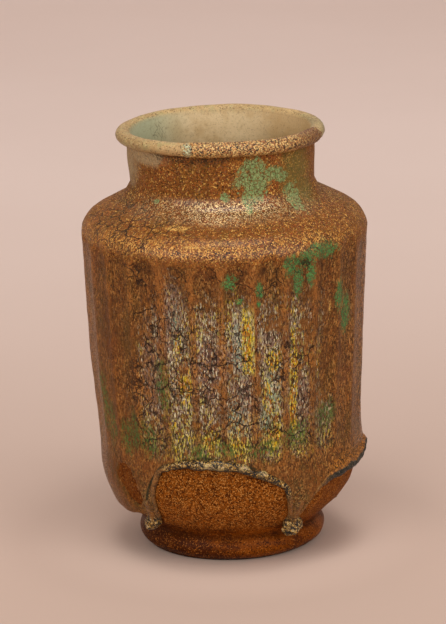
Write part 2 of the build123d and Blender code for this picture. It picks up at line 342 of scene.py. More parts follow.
def weathered_glaze(colours):
    """Brown weathered glaze with golden grain, green remains, iridescent flecks and cracks."""
    f = Finish("weathered_glaze")
    flute = f.node("ShaderNodeAttribute", {"attribute_name": "flute"}, out=2)
    broad = f.noise(f.place, 0.04, 3, 0.6)
    mottle = f.noise(f.place, 0.15, 4, 0.65)
    crumb = f.noise(f.stretched(0.7), 0.55, 4, 0.7)
    patchy = f.noise(f.vector("ADD", f.place, (71, 13, 5)), 0.28, 3, 0.6)
    tint = f.noise(f.vector("ADD", f.stretched(0.6), (17, 53, 29)), 0.09, 3, 0.6)
    ragged = (mottle - 0.5) * 2 + (crumb - 0.5) * 0.9
    grain = f.dots(2, 0.9)
    dash = f.dots(2.1, 0.32)
    on_neck = f.ease(f.z, 170, 178)
    on_wall = f.fall(f.z, 147, 154)
    on_shoulder = f.clamp(1 - on_neck - on_wall)
    on_edge = f.ease(f.z, 150.5, 155) * f.fall(f.z, 158.5, 163)
    on_root = f.ease(f.z, 164, 169) * f.fall(f.z, 173, 178)
    front = f.fall(abs(f.turn), 34, 62)

    # Brown ground
    skirt = f.fall(f.z + (mottle - 0.5) * 20, 44, 58)
    olive = f.ease(f.noise(f.stretched(0.5), 0.4, 4, 0.65), 0.5, 0.6)
    base = f.layers(
        f.mix(f.ease(broad + mottle, 0.84, 1.14), colours.glaze_dark, colours.glaze_brown),
        (on_shoulder * f.ease(mottle, 0.3, 0.6) * 0.5, colours.glaze_orange),
        (on_edge * f.ease(mottle, 0.3, 0.55) * 0.5, (180, 108, 36)),
        (on_neck * 0.6, (160, 98, 38)),
        (f.patches(ragged, 0.6, (-14, 181, 26, 7)) * 0.3, (96, 56, 18)),
        (f.ease(patchy, 0.52, 0.66) * on_shoulder * 0.3, (166, 96, 26)),
        (f.ease(crumb, 0.52, 0.64) * f.clamp(on_shoulder + 0.3) * 0.3, (172, 106, 36)),
        (f.ease(0.5 - patchy, 0, 0.14) * (0.4 - on_shoulder * 0.18), (86, 48, 14)),
        (f.ease(0.5 - crumb, 0, 0.12) * (0.45 - on_shoulder * 0.22), (70, 38, 12)),
        # Painted shade: the shoulder darker towards its right, evening out the stronger light on that side
        (on_shoulder * (0.05 + f.ease(f.turn, -36, 30) * 0.4), (94, 48, 6)),
        # Painted sheen: the wall paler towards its left edge, standing in for side light
        (f.fall(f.turn, -76, -60) * on_wall * 0.22, (214, 160, 120)),
        (f.ease(tint, 0.53, 0.66) * 0.35, (98, 78, 30)),
        (f.ease(0.5 - tint, 0.03, 0.16) * 0.25, (150, 76, 36)),
        (skirt * 0.7, f.mix(olive * 0.8, (122, 72, 28), (76, 62, 26))),
    )

    # Ridges painted lighter as highlight lines, and painted shade in the dark tops of the flutes
    inside = f.ease(flute + (crumb - 0.5) * 0.9, 0.1, 0.6)
    ridge = f.fall(flute + (crumb - 0.5) * 0.4, 0.02, 0.28) * on_wall
    ridge = ridge * f.ease(f.z, 60, 90) * (0.5 + front * 0.5)
    arch = f.ease(flute, 0.25, 0.9) * f.ease(f.z, 116, 140) * on_wall * (0.45 + front * 0.45)
    base = f.layers(
        base,
        # Painted highlight along the ridges, strongest near the top and at the front
        (ridge * (0.35 + f.ease(f.z, 104, 138) * 0.5) * f.clamp(mottle * 2.4 - 0.5), (166, 102, 46)),
        # Painted shade in the recessed tops of the flutes
        (arch * (0.34 + f.ease(0.55 - crumb, 0, 0.15) * 0.4), (64, 36, 10)),
    )

    # Iridescent flecks, thick in the front flutes and thin elsewhere
    column = f.noise(f.stretched(0.13), 0.17, 3, 0.6)
    behind = f.patches(ragged * 0.5, 0.5, (128, 100, 26, 42), (-136, 92, 20, 34))
    near = f.most(f.fall(abs(f.turn - 2), 24, 52), behind * 0.7)
    level = f.ease(f.z, 50, 60) * f.fall(f.z + (mottle - 0.5) * 40, 114, 146)
    foot_band = f.fall(f.z, 62, 80)
    scab = f.ease(f.noise(f.vector("ADD", f.stretched(0.8), (9, 31, 47)), 0.14, 3, 0.6), 0.52, 0.6)
    panel = f.box(2.6, 11.2, 98.5, 128)
    panel_right = f.ease(f.turn, 5, 7.5)
    streak = f.patches(
        ragged * 0.35, 0.4,
        (28.2, 90, 2.2, 25), (20, 104, 3.2, 6), (-20, 112, 1.5, 6), (40.5, 97, 1.2, 4),
    )
    yellow = f.patches(
        ragged * 0.5, 0.5,
        (8, 113, 2.2, 15), (16.8, 84, 2, 9), (-17.5, 93, 3, 5), (2, 62, 5, 5), (-7, 66, 3.5, 5),
        (18, 66, 4, 6),
    )
    lilac = f.patches(
        ragged * 0.8, 0.6,
        (-22, 122, 6, 20), (-8, 102, 6, 12), (7, 88, 5, 9), (33, 84, 4, 12), (-32, 100, 5, 20),
    )
    teal = f.patches(
        ragged * 0.8, 0.6,
        (19.5, 88, 3, 10), (16, 74, 3, 8), (3, 76, 5, 9), (-20, 120, 2.5, 9), (4.5, 108, 2, 12),
    )
    flank = f.patches(ragged, 0.6, (41, 67, 13, 13))
    cover = f.clamp((column - 0.46) * 2.6 + near * 0.8 + (mottle - 0.5) * 1.5 + (crumb - 0.5) * 1.2)
    cover = cover * level * (0.25 + near * 0.75) * (1 - scab * 0.8)
    streaks = (streak * level * 0.9, yellow * 0.8, lilac * near * 0.6, teal * 0.7)
    cover = f.clamp(f.most(cover, flank * 0.55, panel * 0.95, *streaks))
    base = f.layers(
        base,
        (scab * level * near * 0.45, (160, 102, 46)),
        (f.clamp(cover * 1.5) * inside * 0.6, f.mix(lilac, (118, 90, 54), (138, 116, 102))),
        (panel * 0.75, f.mix(panel_right, (178, 186, 162), (218, 202, 96))),
    )
    cover = f.clamp(cover * (1 + foot_band * 0.15))
    hue = f.noise(f.stretched(0.3), 0.08, 2, 0.55) - 0.5 + 0.28 + foot_band * 0.16 + (dash[0] - 0.5) * 0.6
    hue = hue + panel * (panel_right * 0.3 - 0.12) + streak * 0.5 + yellow * 0.34 - lilac * 0.18
    dark_end = 0.26 + foot_band * 0.24 - panel * 0.14
    fleck = f.layers(
        f.ramp(
            f.clamp(hue), (0, (124, 92, 80)), (0.2, (152, 128, 112)), (0.38, (174, 158, 122)),
            (0.52, (200, 192, 94)), (0.66, (236, 204, 36)), (0.82, (220, 146, 16)), (1, (176, 92, 18)),
        ),
        (teal * f.ease(dash[1], 0.4, 0.6) * 0.8, (136, 168, 146)),
        (f.ease(dash[2], 0.82, 0.9) * 0.8, f.mix(foot_band, (240, 230, 194), (236, 210, 110))),
        (f.fall(dash[2], dark_end - 0.1, dark_end) * 0.85, f.mix(foot_band, (50, 34, 20), (42, 46, 18))),
    )
    shown = f.ease(dash[1] + cover * 0.95, 0.78, 0.93) * f.clamp(0.25 + inside * 0.75 + panel * 0.5)
    thread = f.ease(f.noise(f.stretched(0.22), 1.9, 2, 0.6), 0.54, 0.6) * f.clamp(cover + 0.5) * on_wall
    base = f.layers(base, (shown * f.clamp(cover * 1.5) * 0.9, fleck), (thread * 0.85, (38, 22, 10)))

    # Pepper and gold, with painted highlight glints at the root of the neck and on the edge, and gold in a
    # few chips
    rich = 0.44 + on_shoulder * 0.2 + on_neck * 0.2 - on_wall * 0.04 - skirt * 0.16 + on_root * 0.2
    rich = rich + f.ease(f.turn, 36, 56) * on_wall * 0.25
    rich = f.clamp(rich + (broad - 0.5) * 1.2 + (patchy - 0.5) * 1.2)
    for low, shade in ((0.08, (150, 64, 22)), (0.26, (126, 92, 64)), (0.44, (124, 88, 14))):
        speck = f.ease(grain[1], low, low + 0.03) * f.fall(grain[1], low + 0.1, low + 0.13)
        base = f.mix(speck * (1 - on_wall) * 0.6, base, shade)
    # Painted highlight: whitish glints at the root of the neck, where the overhead lamp's highlight falls
    painted_root_glints = f.patches(ragged * 0.5, 0.6, (-3, 170.4, 15, 3.6), (25, 171.6, 8, 2.6))
    # Painted highlight: bright and dark glint specks along the shoulder's edge, where the highlight band
    # falls
    painted_edge_glints = on_edge * f.patches(ragged * 0.6, 0.7, (-18, 156.5, 44, 5), (38, 156.5, 18, 4))
    chipped = f.patches(
        ragged * 0.9, 0.5, (47.1, 124.3, 0.6, 3), (-21.5, 164.9, 5, 0.7), (-13, 158.6, 4, 0.6)
    )
    base = f.layers(
        base,
        (f.fall(grain[0], 0, 0.5) * 0.8 * rich, (46, 22, 4)),
        (f.ease(grain[0], 0.62, 0.95) * 0.4 * rich, (196, 122, 42)),
        (f.ease(grain[1], 0.86, 0.92) * 0.9 * rich, (30, 16, 6)),
        (f.ease(grain[2], 0.88, 0.94) * (0.9 - on_wall * 0.5) * rich, colours.glaze_gold),
        (f.fall(dash[0], 0.1, 0.2) * on_wall * rich, (48, 27, 9)),
        (f.ease(dash[0], 0.84, 0.92) * on_wall * rich, (194, 136, 74)),
        (painted_root_glints * f.ease(grain[2], 0.5, 0.66) * 0.6, (250, 220, 166)),
        (painted_edge_glints * f.ease(grain[0], 0.76, 0.86) * 0.65, (248, 190, 100)),
        (painted_edge_glints * f.fall(grain[0], 0.14, 0.28) * 0.85, (36, 18, 6)),
        (chipped * f.ease(grain[1], 0.2, 0.45) * 0.7, (238, 184, 96)),
    )

    # Green remains, crackled
    pale_green = f.patches(
        ragged * 0.9 + (crumb - 0.5) * 1.2, 0.18,
        (19.5, 185.5, 10.5, 8), (31.5, 186.5, 7.5, 3.6), (17, 176.5, 5, 4.5), (38, 184, 5, 2.6),
        (46, 174.5, 5.5, 5.5), (1, 177, 3, 2.2), (-43, 173.5, 2.5, 1.2), (15.5, 172, 2.4, 2.2),
        (23.5, 176.5, 2.2, 2.4),
    )
    wash = f.patches(ragged * 0.8, 0.6, (50, 186, 14, 9), (58, 176, 10, 6))
    deep_green = f.patches(
        ragged * 0.9 + (crumb - 0.5) * 1.8, 0.25,
        (30, 141, 2.4, 7), (36, 143, 2, 6), (26.5, 148.5, 3.2, 5), (34, 150, 5, 3.8), (43, 152.5, 7.5, 4.2),
        (13.5, 138, 1.5, 4.5), (2.2, 142.5, 3.4, 3.2), (53, 128, 2.8, 8), (58, 118, 3.6, 8),
        (112, 146, 6, 5), (-128, 140, 5, 7), (5.5, 133, 1.8, 1.4), (13, 131.5, 1, 2),
    )
    dull_green = f.patches(
        ragged * 1.2, 0.5,
        (-67, 78, 3, 12), (-61, 66, 3, 9), (-50, 62, 4, 8), (-44, 66, 3, 8), (-37, 64, 4.5, 9),
        (-2, 62, 5, 4.5), (14, 61, 7, 3.5), (30, 66, 6, 6), (-28, 92, 3, 12), (-13, 60, 4, 3.5),
        (46, 72, 5, 6),
    )
    chip = f.ease(f.seams(f.bent(0.3, 1.6), 0.5) + grain[0] * 0.16, 0.06, 0.2)
    speckle = f.ease(grain[1], 0.1, 0.9)
    green = f.mix(speckle, colours.glaze_green, (160, 176, 116))
    teal_green = f.mix(speckle, colours.glaze_teal, (92, 140, 74))
    base = f.layers(
        base,
        (wash * 0.45, (118, 122, 62)),
        (pale_green * (0.06 + chip * 0.84), green),
        (pale_green * f.ease(grain[2], 0.8, 0.9) * 0.5, (74, 80, 40)),
        (deep_green * (0.15 + chip * 0.8) * f.ease(crumb, 0.34, 0.46), teal_green),
        (dull_green * f.ease(dash[0] * 0.5 + crumb, 0.62, 0.86) * 0.8, (70, 104, 46)),
    )

    # Pale film and a thin dark band under the lip, speckled legs above the drops, gold above the right of
    # the hem
    film = f.patches(ragged * 0.7, 0.4, (-58, 193.5, 22, 4), (-82, 188, 20, 10))
    # A thin band of dark specks right under the lip
    dark_band_under_lip = f.patches(ragged, 0.4, (-20, 194.4, 26, 2.2))
    legs = f.patches(ragged * 0.5, 0.5, (-41, 27, 5, 12), (32, 29, 5, 14))
    golden = f.patches(ragged * 0.8, 0.5, (54, 46, 7, 3), (64, 48, 8, 3.4), (76, 50, 9, 4))
    base = f.layers(
        base,
        (film * (0.45 + grain[0] * 0.4), (184, 162, 122)),
        (dark_band_under_lip * f.ease(grain[2], 0.35, 0.6) * 0.8, (40, 30, 20)),
        (legs * f.ease(grain[0], 0.55, 0.7) * 0.75, (178, 140, 80)),
        (legs * f.ease(grain[1], 0.58, 0.7) * 0.85, (44, 40, 20)),
        (golden * f.ease(grain[0], 0.45, 0.65) * 0.65, (206, 132, 46)),
        (golden * f.ease(grain[1], 0.66, 0.76) * 0.85, (40, 26, 12)),
    )

    # Dark curves beside the left leg and above the hem, and cracks
    up = f.z - 32.6
    lean = up * 0.34 + up * up * 0.0125 - 41.6
    line = f.fall(abs(f.turn - lean + (mottle - 0.5) * 1.2), 0.4, 1)
    line = line * f.ease(f.z, 27, 32) * f.fall(f.z, 51, 54)
    ahead = f.turn + 10
    brow = f.fall(abs(f.z - 56.9 + ahead * ahead * 0.0125 + (mottle - 0.5) * 4), 0.4, 1.2)
    brow = brow * f.ease(f.turn, -32, -26) * f.fall(f.turn, 20, 26)
    long_crack = f.fall(f.seams(f.bent(0.16, 12), 0.075), 0.012, 0.036)
    small_crack = f.fall(f.seams(f.bent(0.2, 5), 0.15), 0.016, 0.055)
    crazed = f.patches(ragged, 0.5, (-50, 163.5, 30, 9)) * f.ease(crumb, 0.3, 0.42)
    cracked = long_crack * on_wall * front * f.ease(f.z, 56, 64)
    cracked = f.clamp(cracked * f.ease(broad + (crumb - 0.5) * 0.6, 0.42, 0.54) + small_crack * crazed)
    base = f.layers(
        base,
        (line * 0.85, (34, 40, 20)),
        (brow * f.ease(crumb, 0.4, 0.52) * 0.8, (34, 38, 18)),
        (cracked * 0.85, (34, 18, 8)),
    )

    # Shine of the root and the edge, and golden flakes laid where their highlights fall, partly painted
    # highlight
    shine = on_root * f.patches(ragged * 0.3, 0.7, (0, 171, 42, 30))
    shine = f.clamp(shine + on_edge * f.patches(ragged * 0.3, 0.8, (-14, 156, 64, 30)) * 0.6)
    flakes_and_glints = f.ease(grain[2], 0.6, 0.8) * f.clamp(shine + on_shoulder * 0.1)
    flakes_and_glints = flakes_and_glints * f.most(on_root, f.ease(patchy + (crumb - 0.5) * 0.5, 0.38, 0.62))
    # Partly painted highlight: golden metal flakes, paler at the root, laid where the lamp's highlights
    # fall
    base = f.mix(flakes_and_glints * 0.75, base, f.mix(on_root, (234, 166, 76), (246, 210, 150)))
    aside = f.ease(abs(f.turn), 56, 76) * on_wall
    rough = f.clamp(0.66 - shine * 0.3 - aside * 0.36 + (grain[1] - 0.5) * 0.3 - shown * 0.12)
    pitted = grain[0] * 0.8 - f.cells(f.stretched(0.9), 2) * 0.5
    relief = pitted - cracked * 1.4 - thread * 0.6 + (crumb - 0.5) * 2
    normal = f.bump(relief + mottle * 1.5 + f.most(pale_green, deep_green) * chip * 0.9, 0.0003, 0.9)
    shiny = {"Specular IOR Level": 0.16, "Coat Roughness": 0.35, "Coat IOR": 1.7}
    dusty = {"Sheen Weight": 0.06, "Sheen Roughness": 0.22, "Sheen Tint": [1, 0.8, 0.62]}
    return f.surface(base, rough, normal, shine * 0.5, shiny | dusty, flakes_and_glints * 0.9)


def bare_paste(colours):
    """Bare fired paste with golden grit, darker and smoother on the foot."""
    f = Finish("bare_paste")
    broad = f.noise(f.place, 0.06, 3, 0.6)
    worm = f.noise(f.place, 0.75, 3, 0.65, 0.8)
    grit = f.dots(2.2)
    low = f.fall(f.z + (worm - 0.5) * 6, 15.5, 20.5)
    # Painted highlight: orange patches on the right side of the foot
    painted_warm_highlight = f.ease(f.turn, 16, 50) * f.ease(f.noise(f.place, 0.12, 3), 0.42, 0.6)
    stain_light_and_shade = f.layers(
        f.mix(f.ease(broad + (worm - 0.5) * 0.5, 0.36, 0.62), (72, 30, 5), colours.foot_brown),
        (painted_warm_highlight * 0.2, (150, 78, 16)),
        # Painted shade: the foot darker on its left side
        (f.fall(f.turn + (worm - 0.5) * 20, -40, -8) * 0.7, (58, 22, 2)),
        (f.ease(grit[1], 0.82, 0.92) * 0.6, (176, 106, 44)),
        (f.ease(grit[2], 0.78, 0.88) * 0.8, (32, 13, 3)),
        # Painted contact shadow along the bottom of the foot
        (f.fall(f.z, 0.2, 2), (36, 18, 6)),
    )
    base = f.layers(
        f.mix(f.ease(worm, 0.38, 0.58), (78, 34, 4), colours.paste),
        (f.fall(grit[0], 0, 0.5) * 0.5, (58, 24, 4)),
        (f.ease(grit[1], 0.7, 0.92) * 0.75, (208, 142, 70)),
        (f.ease(grit[2], 0.88, 0.94) * 0.7, (44, 20, 6)),
        (f.fall(f.turn, -47, -43) * f.ease(f.turn, -75, -68) * 0.5, (92, 44, 14)),
        (f.ease(f.turn, 36, 52) * 0.4, (116, 60, 16)),
        (low, stain_light_and_shade),
        # Painted shade: a dark band in the groove above the foot
        (f.patches((worm - 0.5) * 2, 0.6, (0, 12.4, 400, 1.6)) * 0.5, (52, 22, 5)),
    )
    rough = f.clamp(0.62 - low * 0.2 + (grit[2] - 0.5) * 0.2)
    relief = grit[0] * 0.5 - f.cells(f.place, 2.2) * 0.5 + worm * 1.8
    normal = f.bump(relief * (1 - low * 0.6), 0.00034, 0.9)
    return f.surface(base, rough, normal, low * 0.05, {"Specular IOR Level": 0.04, "Coat Roughness": 0.35})


def pale_glaze(colours):
    """Worn pale glaze of the lip and of the lining inside."""
    f = Finish("pale_glaze")
    broad = f.noise(f.place, 0.05, 3, 0.6)
    mottle = f.noise(f.place, 0.22, 4, 0.65)
    fine = f.noise(f.place, 1, 3, 0.6)
    grain = f.dots(1.9)
    inside = f.fall(f.maths("SQRT", f.x * f.x + f.y * f.y), 41.9, 43.3)
    ragged = (mottle - 0.5) * 2.2
    under = f.fall(f.z, 195.6, 198)
    scratch = f.fall(f.seams(f.vector("MULTIPLY", f.bent(0.2, 2), (1.6, 1.6, 0.5)), 0.4), 0.02, 0.07)
    wall = f.layers(
        f.mix(f.ease(broad + (mottle - 0.5) * 0.6, 0.36, 0.64), (186, 156, 110), colours.lining),
        (f.fall(f.x, -38, -10) * 0.8, (156, 166, 136)),
        (f.ease(f.x, 8, 34) * 0.6, (182, 144, 94)),
        (f.ease(mottle, 0.56, 0.72) * 0.3, (140, 118, 82)),
        (scratch * f.patches(ragged, 0.4, (-134, 193, 6, 5)) * 0.6, (90, 86, 62)),
        (f.ease(fine, 0.52, 0.66) * 0.2, (140, 116, 78)),
        (f.ease(grain[1], 0.9, 0.95) * 0.25, (110, 90, 60)),
    )
    base = f.layers(
        f.mix(f.ease(broad + (mottle - 0.5), 0.34, 0.66), (172, 140, 92), colours.lip_cream),
        (f.ease(mottle, 0.48, 0.62) * 0.6, (150, 140, 92)),
        (f.patches(ragged, 0.5, (96, 199, 22, 3)) * 0.6, (108, 112, 84)),
        (f.patches(ragged, 0.5, (-28, 199, 8, 4)) * 0.5, (194, 154, 104)),
        (f.patches(ragged, 0.6, (-88, 198, 34, 6)) * 0.35, (146, 116, 70)),
        # Partly painted shade: the lip's overhanging underside darker, with real dark speckle
        (under * (1 - inside) * f.ease(fine, 0.4, 0.62) * 0.45, (104, 74, 40)),
        (f.ease(grain[1], 0.82, 0.9) * 0.75, (84, 62, 36)),
        (f.ease(grain[2], 0.84, 0.92) * 0.4, (222, 196, 146)),
        (f.ease(fine, 0.52, 0.64) * 0.42, (132, 108, 68)),
        (inside, wall),
    )
    normal = f.bump(fine * 0.5 + mottle * 0.8, 0.0004, 0.5)
    return f.surface(base, f.clamp(0.5 + (fine - 0.5) * 0.3), normal, 0, {"Specular IOR Level": 0.3})


def lip_crust(colours):
    """Orange-brown crust with black, cream and grey specks."""
    f = Finish("lip_crust")
    mottle = f.noise(f.place, 0.2, 3, 0.6)
    broken = f.noise(f.place, 1, 4, 0.75)
    cell = f.dots(1.5)
    fine = f.dots(2.2)
    mint = f.patches((mottle - 0.5) * 3, 0.4, (-19, 198.4, 2.6, 4))
    base = f.layers(
        f.mix(f.ease(mottle, 0.36, 0.64), (164, 102, 52), colours.crust),
        (f.ease(fine[1], 0.76, 0.84) * 0.85, (48, 26, 12)),
        (f.ease(fine[0], 0.78, 0.88) * 0.85, (246, 206, 126)),
        (f.fall(cell[0], 0, 0.5) * 0.5, (96, 50, 20)),
        (f.ease(cell[1], 0.76, 0.84) * 0.85, (34, 24, 14)),
        (f.ease(cell[2], 0.82, 0.92) * 0.75, (236, 200, 130)),
        (f.ease(broken, 0.55, 0.62) * 0.85, (242, 202, 126)),
        (f.ease(0.5 - broken, 0.04, 0.1) * 0.9, (32, 20, 12)),
        (f.fall(f.z, 195.9, 197.8) * 0.6, (170, 122, 58)),
        (f.ease(f.turn + (mottle - 0.5) * 30, 36, 62) * 0.7, (104, 58, 24)),
        (mint * f.ease(fine[0], 0.2, 0.6) * 0.8, (198, 204, 164)),
    )
    normal = f.bump(cell[0] - f.cells(f.place, 1.5) * 0.7 + mottle, 0.0005, 0.9)
    return f.surface(base, 0.42, normal, 0.15, {"Specular IOR Level": 0.35, "Coat Roughness": 0.2})


def glassy_glaze():
    """Thick glassy glaze of the hem, runs and drops, marbled black, ochre, cream and grey."""
    f = Finish("glassy_glaze")
    mottle = f.noise(f.place, 0.22, 3, 0.6)
    marble = f.noise(f.bent(0.5, 1.5), 0.8, 5, 0.75)
    fine = f.dots(2.8)
    # Painted highlight: pale pink and yellow patches on the front of the hem's crest
    painted_crest_highlights = f.patches((marble - 0.5) * 3, 0.5, (-7, 53.8, 5, 2), (6, 53, 2.2, 1.4), (14, 49.6, 2, 1.2))
    drop = f.fall(f.z + (mottle - 0.5) * 10, 19, 24)
    crest = f.ease(f.turn + (mottle - 0.5) * 16, -32, -22) * f.fall(f.turn + (mottle - 0.5) * 14, 26, 33)
    crest = crest * f.ease(f.z, 34, 38)
    left = f.fall(f.turn, -32, -26) * f.ease(f.turn, -42, -38) * f.ease(f.z, 28, 34)
    right = f.ease(f.turn, 38, 50) * f.fall(f.turn, 96, 104) * f.ease(f.z, 32, 36)
    facing = f.parts(f.node("ShaderNodeNewGeometry", out=1))[2]
    ground = f.layers(
        f.mix(f.ease(mottle, 0.36, 0.64), (104, 66, 28), (158, 98, 42)),
        (f.ease(0.5 - marble, 0, 0.14) * 0.75, (48, 36, 18)),
        (f.ease(fine[2], 0.76, 0.92) * 0.6, (206, 160, 90)),
    )
    glint = f.ramp(
        f.clamp((marble - 0.5) * 4.2 + 0.3 + painted_crest_highlights * 0.12 + drop * 0.06 + (fine[0] - 0.5) * 0.5),
        (0, (16, 13, 8)), (0.28, (30, 28, 14)), (0.38, (92, 68, 26)), (0.5, (156, 104, 38)),
        (0.62, (196, 138, 44)), (0.76, (226, 192, 92)), (0.9, (238, 222, 178)), (1, (184, 162, 144)),
    )
    # Painted shade for the right roll's downward face, and below its painted lit gold for the upward face
    shaded_underside = f.mix(f.ease(fine[1], 0.86, 0.94), (26, 28, 20), (120, 104, 80))
    gold = f.mix(f.ease(marble, 0.42, 0.6), (122, 70, 26), (196, 126, 50))
    gold = f.mix(f.ease(fine[0], 0.8, 0.92) * 0.8, gold, (52, 30, 12))
    lit = f.ease(facing + (mottle - 0.5) * 0.8, 0.32, 0.62)
    base = f.layers(
        f.mix(f.clamp(crest * 0.9 + drop * 0.95 + 0.15), ground, glint),
        # Painted highlight on the hem's crest
        (painted_crest_highlights * f.ease(marble, 0.42, 0.52) * 0.75, f.mix(fine[0], (196, 156, 136), (222, 208, 116))),
        (left * f.ease(facing + (mottle - 0.5) * 0.6, 0.25, 0.55) * 0.85, (38, 42, 22)),
        # Painted light and shade on the right roll: gold where it faces up, dark where it faces down
        (right, f.mix(lit, shaded_underside, gold)),
        # Painted shade under the hem roll, where its surface faces down
        (f.fall(facing, -0.8, -0.2) * f.ease(f.z, 30, 36) * 0.8, (20, 18, 14)),
    )
    normal = f.bump(marble * 2 + fine[0] * 0.4, 0.0006, 0.9)
    glassy = {"Specular IOR Level": 0.3, "Coat Roughness": 0.1}
    return f.surface(base, f.clamp(0.28 + fine[0] * 0.2), normal, f.clamp(crest + drop) * 0.3, glassy)


def hidden_paste():
    """Paste of the sections and slip under the glaze."""
    f = Finish("hidden_paste")
    broad = f.noise(f.place, 0.3, 4, 0.6)
    base = f.mix(broad, (150, 96, 50), (190, 140, 88))
    return f.surface(base, 0.8, f.bump(broad, 0.0003, 0.5), 0, {"Specular IOR Level": 0.2})


def backdrop_paper(colours):
    """Pink paper, painted lighter behind the jar to make up for the light falling off, and painted lighter
    right under the jar to soften its shadow.
    """
    f = Finish("backdrop_paper")
    shade = f.layers(
        # Painted light: the paper lighter towards the back, making up for the lamps' falloff
        f.mix(f.ease(f.y, -150, 1000), colours.backdrop, colours.backdrop_far),
        # Painted light: the floor lighter right around the jar, softening its shadow
        (f.fall(f.maths("SQRT", f.x * f.x + f.y * f.y), 58, 106) * 0.65, (224, 197, 181)),
        (f.ease(f.noise(f.place, 0.004, 3), 0.3, 0.7) * 0.05, (190, 160, 144)),
    )
    fibre = f.bump(f.noise(f.place, 0.4), 0.0002, 0.2)
    return f.surface(shade, 0.9, fibre, 0, {"Specular IOR Level": 0.1})


def finish(make, *given):
    """The material that a function makes, made the first time it is asked for."""
    return bpy.data.materials.get(make.__name__) or make(*given)


class Line:
    """Outline of the body from the groove to the lip, with the way out of it at each point."""

    def __init__(self, sizes):
        corners = [
            (sizes.groove_radius, sizes.foot_height - 0.003),
            (sizes.groove_radius, sizes.foot_height + 0.0009),
            (sizes.knee_radius, sizes.knee_height),
            (sizes.shoulder_radius, sizes.shoulder_height),
            (sizes.neck_radius - 0.0002, sizes.root_height),
            (sizes.neck_radius + 0.0005, sizes.lip_height - 0.0018),
        ]
        radii = (sizes.groove_ease, sizes.knee_ease, sizes.shoulder_ease, sizes.root_ease)
        points = self.eased(corners, radii)
        steps = np.hypot(*np.diff(points, axis=0).T)
        self.along = np.concatenate([[0], np.cumsum(steps)])
        self.radius, self.height = points.T
        way = np.gradient(points, self.along, axis=0)
        way /= np.hypot(*way.T)[:, None]
        self.out_radius, self.out_height = way[:, 1], -way[:, 0]

    @staticmethod
    def eased(corners, radii):
        """Points of the outline, with each inner corner turned into an arc."""
        corners = [np.array(c) for c in corners]
        points = [corners[0]]
        for before, corner, after, radius in zip(corners, corners[1:], corners[2:], radii):
            into = (corner - before) / np.hypot(*(corner - before))
            onward = (after - corner) / np.hypot(*(after - corner))
            half = math.acos(float(into @ onward)) / 2
            turn = onward - into
            centre = corner + turn / np.hypot(*turn) * radius / math.cos(half)
            start = corner - into * radius * math.tan(half) - centre
            first = math.atan2(start[1], start[0])
            sweep = 2 * half * np.sign(into[0] * onward[1] - into[1] * onward[0])
            for angle in first + sweep * np.linspace(0, 1, ARC_STEPS):
                points.append(centre + radius * np.array([math.cos(angle), math.sin(angle)]))
        points.append(corners[-1])
        return np.array(points)

    def at_height(self, height):
        """Distance along the outline at a height."""
        return np.interp(height, self.height, self.along)

    def height_at(self, along):
        """Height at a distance along the outline."""
        return np.interp(along, self.along, self.height)

    def at(self, along, out):
        """Radius and height at a distance along the outline, moved out of it."""
        aside, up = (np.interp(along, self.along, way) for way in (self.out_radius, self.out_height))
        return np.interp(along, self.along, self.radius) + out * aside, self.height_at(along) + out * up


def hump(turn, centre, spread):
    """1 at a turn, falling off smoothly to both sides, all in degrees but for the turn in radians."""
    off = (np.degrees(turn) - centre + 180) % 360 - 180
    return np.exp(-((off / spread) ** 2))


def wander(turn, height):
    """How far the hand-made round strays from a true one."""
    ripple = 0.25 * np.sin(2 * turn + 0.6) + 0.16 * np.sin(3 * turn - 40 * height)
    ripple = ripple + 0.1 * np.sin(5 * turn + 90 * height)
    belly = 1.0 * np.exp(-(((height - 0.095) / 0.030) ** 2))
    belly = belly - 0.5 * np.exp(-(((height - 0.150) / 0.012) ** 2))
    neck = 0.9 * np.clip((height - 0.176) / 0.012, 0, 1)
    return MM * (ripple + 0.4 * np.sin(turn) + hump(turn, -90, 50) * (belly + neck))


# Lower edge of the glaze, as degrees from the front and height in millimetres
HEM_KEYS = (
    (-113, 28), (-108, 30), (-100, 25), (-86, 24), (-73, 23.8), (-66, 23), (-57, 24.5), (-51, 24),
    (-46, 23), (-42, 22.5), (-40, 23), (-38.5, 28), (-37.3, 36), (-34.5, 45), (-28, 51), (-19, 53),
    (-11, 53.5), (-3, 53), (6, 50.5), (15, 46.5), (21, 43), (24.5, 39), (27, 31), (29, 25), (31.5, 23),
    (34.5, 25), (37, 31), (40, 36.5), (44, 39.6), (53, 41.6), (63, 42.4), (73, 43), (85, 44.5), (93, 44),
    (97, 37), (100, 28), (103, 24), (106, 28), (110, 38), (118, 48), (135, 53), (150, 50), (165, 42),
    (169, 35), (172, 27), (175, 24), (178, 27), (182, 35), (187, 43), (200, 50), (215, 53), (232, 46),
    (240, 37), (247, 28),
)
# Radius of the roll along that edge, as degrees and millimetres
ROLL_KEYS = (
    (-180, 1.2), (-125, 1.3), (-113, 1.2), (-105, 0.9), (-95, 0.7), (-52, 0.7), (-46, 0.9), (-42, 1.0),
    (-38, 1.0), (-34, 1.3), (-26, 1.7), (-14, 2.4), (-6, 2.7), (4, 2.2), (14, 2.0), (22, 1.7), (28, 1.2),
    (33, 1.0), (38, 0.9), (43, 1.3), (48, 2.2), (56, 2.6), (64, 2.7), (75, 2.6), (90, 2.4), (97, 1.4),
    (103, 1.0), (115, 1.4), (140, 1.9), (160, 1.4), (180, 1.2),
)
